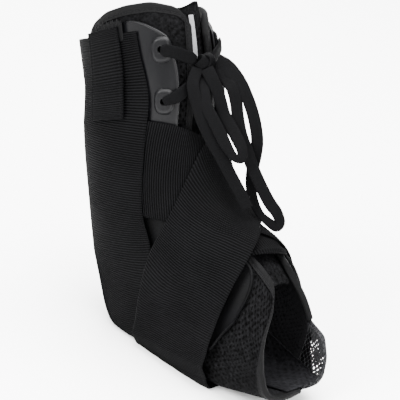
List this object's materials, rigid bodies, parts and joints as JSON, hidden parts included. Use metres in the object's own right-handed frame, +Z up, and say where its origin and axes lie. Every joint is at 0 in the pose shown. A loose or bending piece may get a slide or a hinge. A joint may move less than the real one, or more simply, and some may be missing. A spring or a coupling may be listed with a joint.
{
  "type": "lace-up ankle brace",
  "caption": "Boot-shaped ankle brace with stiff side shells, crossed wrap straps, a padded lining, a tongue and a tied lace.",
  "frame": {"origin": "on the floor, at the middle of the flat patch where the strap under the sole rests", "axes": "+Z up, +X towards the toe opening, -Y towards the near side, which carries the outer end of the wrap"},
  "size_m": [0.2273, 0.0878, 0.2241],
  "materials": {
    "padding": "brushed loop cloth and spacer mesh over foam",
    "binding": "folded woven tape, stitched",
    "webbing": "ribbed webbing",
    "shell": "satin moulded plastic",
    "eyelet": "smooth moulded plastic",
    "patch": "flat woven tape",
    "mesh": "open knitted net",
    "lace": "flat braided cord"
  },
  "bodies": {
    "root": {"side_panel_near": "padding", "side_panel_far": "padding", "tongue": "padding", "edge_binding_near": "binding", "edge_binding_far": "binding", "strap_inner": "webbing", "strap_outer": "webbing", "pull_tab_near": "webbing", "pull_tab_far": "webbing", "side_shell_near": "shell", "side_shell_far": "shell", "eyelet_near_upper": "eyelet", "eyelet_near_lower": "eyelet", "eyelet_far_upper": "eyelet", "eyelet_far_lower": "eyelet", "tongue_patch": "patch", "toe_mesh": "mesh", "lace_knot": "lace", "bow_loop_long": "lace", "bow_loop_short": "lace", "lace_end_near": "lace", "lace_upper_near": "lace", "lace_upper_far": "lace", "lace_lower": "lace"}
  },
  "joints": []
}
